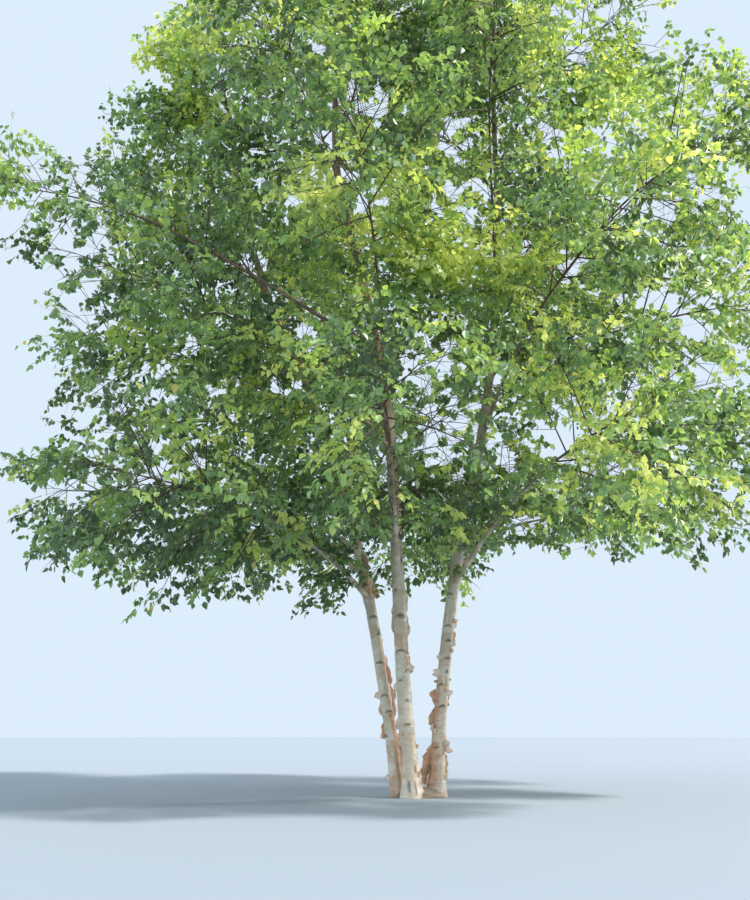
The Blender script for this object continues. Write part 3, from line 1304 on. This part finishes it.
def wood_material(name):
    """Thin-barked wood, mottled, that starts in the colours of its foot if it has them."""
    dark, light, scale, *foot = WOODS[name]
    shader = Shader(name, ROUGHNESS.wood)
    mottle = shader.pattern(scale, EVEN, *WOOD_MOTTLE)
    colour = shader.mix(mottle, dark, light)
    if foot:
        colour = shader.mix(shader.value("grown"), shader.mix(mottle, *foot), colour)
    shader.paint(colour)
    fine = shader.noise(scale * WOOD_BUMP.finer, EVEN, WOOD_BUMP.detail)
    shader.bump(fine, WOOD_BUMP.strength, WOOD_BUMP.distance)
    return shader.material


# Stems and root crown


class Grain:
    """Smooth noise on a stem's skin, with so many cells round it and cells so tall."""

    def __init__(self, seed, around, tall):
        self.tall = tall
        rows = int(TREE_HEIGHT / tall) + 3
        self.grid = np.random.default_rng(seed).uniform(-1, 1, (around, rows))

    def __call__(self, angle, height):
        around, rows = self.grid.shape
        return blended(self.grid, angle / TURN % 1 * around, np.clip(height / self.tall, 0, rows - 2))


def angle_between(angle, facing):
    return (angle - math.radians(facing) + math.pi) % TURN - math.pi


def collar_swell(name, angle, height):
    """How far the stem swells where its boughs leave it."""
    swell = np.zeros_like(height)
    for stem, fork, azimuth, *_ in MASSES.values():
        if stem == name:
            foot = float(bough_radius(stem, fork)(0))
            girth = float(stem_radius(name, fork))
            across = angle_between(angle, azimuth) * girth / (foot * COLLAR_SWELL.across)
            up = (height - fork - COLLAR_SWELL.above * girth) / (foot * COLLAR_SWELL.up)
            swell = np.maximum(swell, COLLAR_SWELL.gain * foot * np.exp(-across ** 2 - up ** 2))
    return swell


def peeled_places(name, angle, height, layers):
    """How bare the skin is where large sheets have come away."""
    bare = np.zeros_like(height)
    for stem, at, facing, tall, wide in PEELED:
        if stem == name:
            away = np.hypot(angle_between(angle, facing) / math.radians(wide), (height - at) / tall)
            bare = np.maximum(bare, eased(PEEL.edge - away + PEEL.ragged * layers, 0, PEEL.soft))
    return bare


def brows(name, angle, height):
    """How dark the brows make each place, and the ridge that they stand out by."""
    scar, ridge = np.zeros_like(height), np.zeros_like(height)
    for stem, at, facing, half in SCARS:
        if stem == name:
            across = angle_between(angle, facing) * stem_radius(name, height) / half
            middle = at - SCAR.bend * half * across ** 2
            thinner = np.sqrt(np.clip(SCAR.end - across ** 2, SCAR.thinnest, 1))
            off = (height - middle) / (SCAR.tall * thinner)
            inside = eased(SCAR.reach - np.abs(across), 0, SCAR.side_fade)
            scar = np.maximum(scar, eased(SCAR.band - np.abs(off), 0, SCAR.fade) * inside)
            above = (height - middle + SCAR.below) / SCAR.ridge_tall
            ridge += SCAR.ridge * np.exp(-above ** 2) * inside
    return scar, ridge


def knots(name, angle, height, layers, fine):
    """How dark the knots make each place, and how far they stand out."""
    scar, ridge = np.zeros_like(height), np.zeros_like(height)
    for stem, at, facing, half, tall in KNOTS:
        if stem == name:
            across = angle_between(angle, facing) * stem_radius(name, height) / half
            off = np.hypot(across, (height - at) / tall) + KNOT.ragged * layers + KNOT.rough * fine
            scar = np.maximum(scar, KNOT.dark * eased(KNOT.edge - off, 0, KNOT.fade))
            ridge += KNOT.ridge * np.exp(-off ** 2) * (1 + fine)
    return scar, ridge


def bark_skin(name, angle, height):
    """Relief in mm, and how far each place is peeled, bare and scarred."""
    seed = SKIN_SEED_STEP * list(STEMS).index(name)
    grain = {key: Grain(seed + i, *SKIN_GRAINS[key])(angle, height) for i, key in enumerate(SKIN_GRAINS)}
    swell = grain["swell"] + SKIN.lumps * grain["lumps"]
    layers = grain["sheets"] + SKIN.flakes * grain["flakes"]
    fine = grain["fine"]
    peeled = eased(layers, *SKIN.peeled_from)
    deeper = eased(layers, *SKIN.deeper_from)
    bare = eased(grain["bare"] + SKIN.bare_layers * layers, *SKIN.bare_from) * SKIN.bare_share
    bare = np.maximum(bare, peeled_places(name, angle, height, layers))
    brow, ridge = brows(name, angle, height)
    knot, knot_ridge = knots(name, angle, height, layers, fine)
    fade = np.exp(-np.maximum(0, height - SKIN.rough_to) / SKIN.fade)
    relief = (
        RELIEF.swell * swell - RELIEF.peeled * peeled - RELIEF.deeper * deeper
        - RELIEF.bare * bare + RELIEF.fine * fine
    ) * fade
    relief = relief + (ridge + knot_ridge) + collar_swell(name, angle, height)
    return relief, peeled, bare * fade, np.maximum(brow, knot)


def stem_tube(name, heights, sides=36):
    """A closed stretch of a stem with level rings and the bark's relief."""
    angle, height = np.meshgrid(angles_round(sides), heights)
    relief, peeled, bare, scar = bark_skin(name, angle, height)
    centres = np.array([STEM_LINES[name].at(h) for h in heights])
    radius = stem_radius(name, height) * flare_at(name, height, angle) + relief
    points = np.stack([
        centres[:, :1] + radius * np.cos(angle), centres[:, 1:2] + radius * np.sin(angle), height,
    ], axis=2).reshape(-1, 3)
    values = np.stack([v.ravel() for v in (peeled, bare, scar)], axis=1)
    return *closed_rings(points, len(heights), sides), for_caps(values, sides)


def closed_rings(points, count, sides):
    """Rings of points, one above another, with a flat cap on the first and the last."""
    a = np.arange(sides)
    b = (a + 1) % sides
    faces = []
    for r in range(count - 1):
        low, high = r * sides, (r + 1) * sides
        faces.append(np.stack([low + a, low + b, high + b], axis=1))
        faces.append(np.stack([low + a, high + b, high + a], axis=1))
    last = (count - 1) * sides
    foot = len(points)
    head = foot + sides + 1
    points = np.concatenate([
        points, points[:sides], [points[:sides].mean(0)], points[last:], [points[last:].mean(0)],
    ])
    faces.append(np.stack([foot + b, foot + a, np.full(sides, foot + sides)], axis=1))
    faces.append(np.stack([head + a, head + b, np.full(sides, head + sides)], axis=1))
    return points, np.concatenate(faces)


def for_caps(values, sides):
    """The values of the points of closed_rings, its caps included."""
    middle = values[:1] * 0
    return np.concatenate([values, values[:sides], middle, values[-sides:], middle])


def bark_piece(name, parts, material):
    """A piece of bark from parts, each with points, faces and how peeled, bare and scarred each point is."""
    points, triangles = joined([(p, t) for p, t, _ in parts])
    peeled, bare, scar = np.concatenate([v for *_, v in parts]).T
    return mesh_object(name, points, triangles, material, smooth=True, peeled=peeled, bare=bare, scar=scar)


def build_stems(material):
    for name, line in STEM_LINES.items():
        top = line.point(1)[2]
        heights = np.concatenate([
            np.arange(ROOT_CROWN_HEIGHT, STEM_RINGS.fine_to, STEM_RINGS.fine),
            np.arange(STEM_RINGS.fine_to, top - STEM_RINGS.below_top, STEM_RINGS.coarse), [top],
        ])
        piece = bark_piece(f"stem_{name}_bark", [stem_tube(name, heights)], material)
        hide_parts(f"stem_{name}")


def root_dome():
    """The dome that the stems share, rough on top and flat on the ground."""
    sides, angles = DOME.sides, angles_round(DOME.sides)
    corners = np.array(ROOT_DOME.profile[1:-1], float)
    steps = np.linspace(0, len(corners) - 1, DOME.rings)
    profile = np.stack([np.interp(steps, np.arange(len(corners)), corners[:, i]) for i in (0, 1)], axis=1)
    rough, coarse = (Grain(*grain) for grain in DOME.grains)
    rings, values = [], []
    for radius, height in profile:
        level = np.full(sides, height + DOME.above)
        lumps, dents = coarse(angles, level), rough(angles, level)
        bump = radius + (DOME.lumps * lumps + DOME.dents * dents) * (height > 0)
        worn = 0.5 + 0.5 * np.clip(DOME.dents_worn * dents + DOME.lumps_worn * lumps, -1, 1)
        values.append(np.stack([worn, DOME.bare * worn, DOME.dark - DOME.paler * worn], axis=1))
        rings.append(np.stack([
            ROOT_DOME.centre[0] + bump * ROOT_DOME.stretch[0] * np.cos(angles),
            ROOT_DOME.centre[1] + bump * ROOT_DOME.stretch[1] * np.sin(angles), np.full(sides, height),
        ], axis=1))
    points, triangles = closed_rings(np.concatenate(rings), len(rings), sides)
    return points, triangles, for_caps(np.concatenate(values), sides)


def build_root_crown(material):
    heights = np.linspace(0, ROOT_CROWN_HEIGHT, STEM_RINGS.in_root_crown)
    parts = [*[stem_tube(name, heights) for name in STEMS], root_dome()]
    piece = bark_piece("root_crown_bark", parts, material)
    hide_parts("root_crown")


# Loose bark: thin curled sheets, each with an outer and an inner face


def smoothed(values):
    """A row of values, each evened out with its neighbours."""
    for _ in range(2):
        padded = np.concatenate([values[:1], values, values[-1:]])
        values = (padded[:-2] + 2 * padded[1:-1] + padded[2:]) / 4
    return values[None]


def sheet_faces(across, along):
    """The faces of a sheet's two layers and of its rim."""
    grid = np.arange(across * along).reshape(across, along)
    a, b, c, d = (g.ravel() for g in (grid[:-1, :-1], grid[1:, :-1], grid[1:, 1:], grid[:-1, 1:]))
    first = np.concatenate([np.stack([a, b, c], 1), np.stack([a, c, d], 1)])
    second = first[:, ::-1] + grid.size
    rim = np.concatenate([grid[:-1, 0], grid[-1, :-1], grid[:0:-1, -1], grid[0, :0:-1]])
    ahead = np.roll(rim, -1)
    other, other_ahead = rim + grid.size, ahead + grid.size
    sides = np.concatenate([np.stack([rim, other, other_ahead], 1), np.stack([rim, other_ahead, ahead], 1)])
    return np.concatenate([first, second, sides])


def rolled(wide, tall, radius, rng, across, along):
    """How far each place of a torn sheet turns round its curl, the curl's radius there, and its rise."""
    ragged = (-SHEET.ragged, SHEET.ragged)
    u = np.linspace(0, 1, across)[:, None]
    v = np.linspace(-0.5, 0.5, along)[None]
    torn = smoothed(rng.uniform(*SHEET.torn, along)) + rng.uniform(*ragged, (across, along))
    reach = wide * u * (1 + torn * u) * (1 - SHEET.corner * (2 * v) ** 4 * u)
    cone = rng.uniform(-SHEET.cone, SHEET.cone) * v * 2
    curl = radius * (1 + cone + rng.uniform(-SHEET.wave, SHEET.wave, (1, along)))
    edge = 1 + u * smoothed(rng.uniform(*SHEET.torn_edge, along)) + rng.uniform(*ragged, (across, along))
    rise = tall * (v * edge + rng.uniform(-SHEET.slant, SHEET.slant) * u ** 2)
    return reach / curl - SHEET.back, curl, rise


def curl_sheet(name, height, facing, wide, tall, turn, radius, rng, across, along):
    """A sheet that leaves the stem along one edge and rolls away from it, with torn edges."""
    line = STEM_LINES[name]
    angle = math.radians(facing)
    start = float(stem_radius(name, height) * flare_at(name, height, angle)) - SHEET.sunk
    outward = np.array([math.cos(angle), math.sin(angle), 0])
    sideways = np.array([-math.sin(angle), math.cos(angle), 0]) * turn
    lean = line.tangent(line.share_at(height))
    sweep, curl, rise = rolled(wide, tall, radius, rng, across, along)
    layers = []
    for thick in (0, SHEET.thick):
        r = curl - thick
        away = start + curl - r * np.cos(sweep)
        aside = r * np.sin(sweep)
        layers.append(
            line.at(height) + away[..., None] * outward + aside[..., None] * sideways + rise[..., None] * lean
        )
    points = np.concatenate([layer.reshape(-1, 3) for layer in layers])
    faces = sheet_faces(across, along)
    if turn > 0:
        faces = faces[:, ::-1]
    none = np.zeros(across * along)
    peeled = none + SHEET.peeled * rng.random()
    bare = np.append(none + SHEET.inner_bare, peeled * SHEET.outer_bare)
    return points, faces, np.stack([np.tile(peeled, 2), bare, np.tile(none, 2)], 1)


def small_curl(rng):
    """Stem, height, facing, width, height, turn and radius of a small sheet anywhere on the stems."""
    low, high = CURLS.heights
    name = list(STEMS)[rng.choice(len(STEMS), p=CURLS.on_stems)]
    height = low + (high - low) * rng.random() ** CURLS.lower
    return (
        name, height, rng.uniform(0, 360), rng.uniform(*CURLS.wide), rng.uniform(*CURLS.tall),
        rng.choice([-1, 1]), rng.uniform(*CURLS.radius),
    )


def build_curls(material):
    rng = np.random.default_rng(CURLS.seed)
    sheets = [curl_sheet(*sheet, rng, across=9, along=11) for sheet in BARK_SHEETS]
    sheets += [curl_sheet(*small_curl(rng), rng, across=6, along=8) for _ in range(CURLS.count)]
    piece = bark_piece("bark_curls", sheets, material)
    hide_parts(*[f"stem_{name}" for name in STEMS])


# Boughs and spines as smooth limbs


def paleness_along(label, line):
    """From 0, where a bough is as pale as its stem, to 1, where it has young dark bark."""
    if label not in MASSES:
        return np.ones(len(line))
    paleness = PALE.most * np.exp(-max(0, MASSES[label][1] - PALE.full_to) / PALE.fade)
    away = np.linalg.norm(line - BOUGH_LINES[label].point(0), axis=1)
    return 1 - paleness * (1 - eased(away, *PALE.along))


def limb_piece(name, limbs, sides, material):
    """Limbs in one piece, each with the label of its bough, its line and its radii."""
    labels, lines, radii = zip(*limbs)
    grown = [paleness_along(label, line) for label, line in zip(labels, lines)]
    grown = np.concatenate([np.append(np.repeat(values[:-1], sides), values[-1]) for values in grown])
    points, triangles = tubes(np.array(lines), np.array(radii), sides)
    return mesh_object(name, points, triangles, material, smooth=True, grown=grown)


def build_boughs(material):
    shares = np.linspace(0, 1, BOUGH.rings)
    limbs = []
    for order, (label, line) in enumerate(BOUGH_LINES.items()):
        entry = entry_share(order, label)
        end = line.point(entry) + line.tangent(entry) * BOUGH.beyond
        radii = bough_radius(*MASSES[label][:2])(shares)
        limbs.append((label, np.array([*line.places(entry * shares), end]), [*radii, 0]))
    piece = limb_piece("boughs_bark", limbs, BOUGH.sides, material)
    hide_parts(*[f"bough_{label}" for label in MASSES])


def build_spines(material):
    shares = np.linspace(0, 1, SPINE.rings)
    limbs = []
    for label, (spine, radius) in zip(LABELS, SPINES):
        radii = np.linspace(max(radius, SPINE.least), SPINE.tip, SPINE.rings)
        limbs.append((label, spine.places(shares), radii))
    piece = limb_piece("spines", limbs, SPINE.sides, material)
    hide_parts(*FOLIAGE_NODES)


# Floor, light and camera


def build_floor():
    bpy.ops.mesh.primitive_circle_add(
        vertices=FLOOR.sides, radius=FLOOR.radius, fill_type="NGON", location=(0, 0, -FLOOR.below))
    floor = bpy.context.object
    floor.name = "floor"
    shader = Shader("floor", ROUGHNESS.floor)
    shader.paint(srgb(FLOOR.colour))
    floor.data.materials.append(shader.material)


def build_lights():
    world = bpy.data.worlds.new("studio")
    bpy.context.scene.world = world
    world.use_nodes = True
    background = world.node_tree.nodes["Background"]
    background.inputs[0].default_value = srgb(SKY.colour)
    background.inputs[1].default_value = SKY.strength
    for name, (towards, energy, angle, colour) in SUNS.items():
        light = bpy.data.lights.new(name, "SUN")
        light.energy = energy
        light.angle = math.radians(angle)
        light.color = colour
        lamp = bpy.data.objects.new(name, light)
        lamp.rotation_euler = Vector(towards).to_track_quat("Z", "Y").to_euler()
        bpy.context.scene.collection.objects.link(lamp)


def build_camera():
    data = bpy.data.cameras.new("camera")
    data.lens = CAMERA.lens
    data.sensor_width = CAMERA.sensor
    data.clip_end = CAMERA.far
    camera = bpy.data.objects.new("camera", data)
    camera.location = (CAMERA.x, CAMERA.y, CAMERA.z)
    camera.rotation_euler = (math.radians(90 + CAMERA.pitch), 0, 0)
    bpy.context.scene.collection.objects.link(camera)
    bpy.context.scene.camera = camera


build_camera()
build_floor()
build_lights()
build_stems(bark_material("bark_stem"))
build_root_crown(bark_material("bark_foot"))
build_curls(bark_material("bark_curl"))
bough_bark = wood_material("bark_bough")
build_boughs(bough_bark)
build_spines(bough_bark)
build_foliage()
bpy.context.scene.view_settings.view_transform = "Standard"
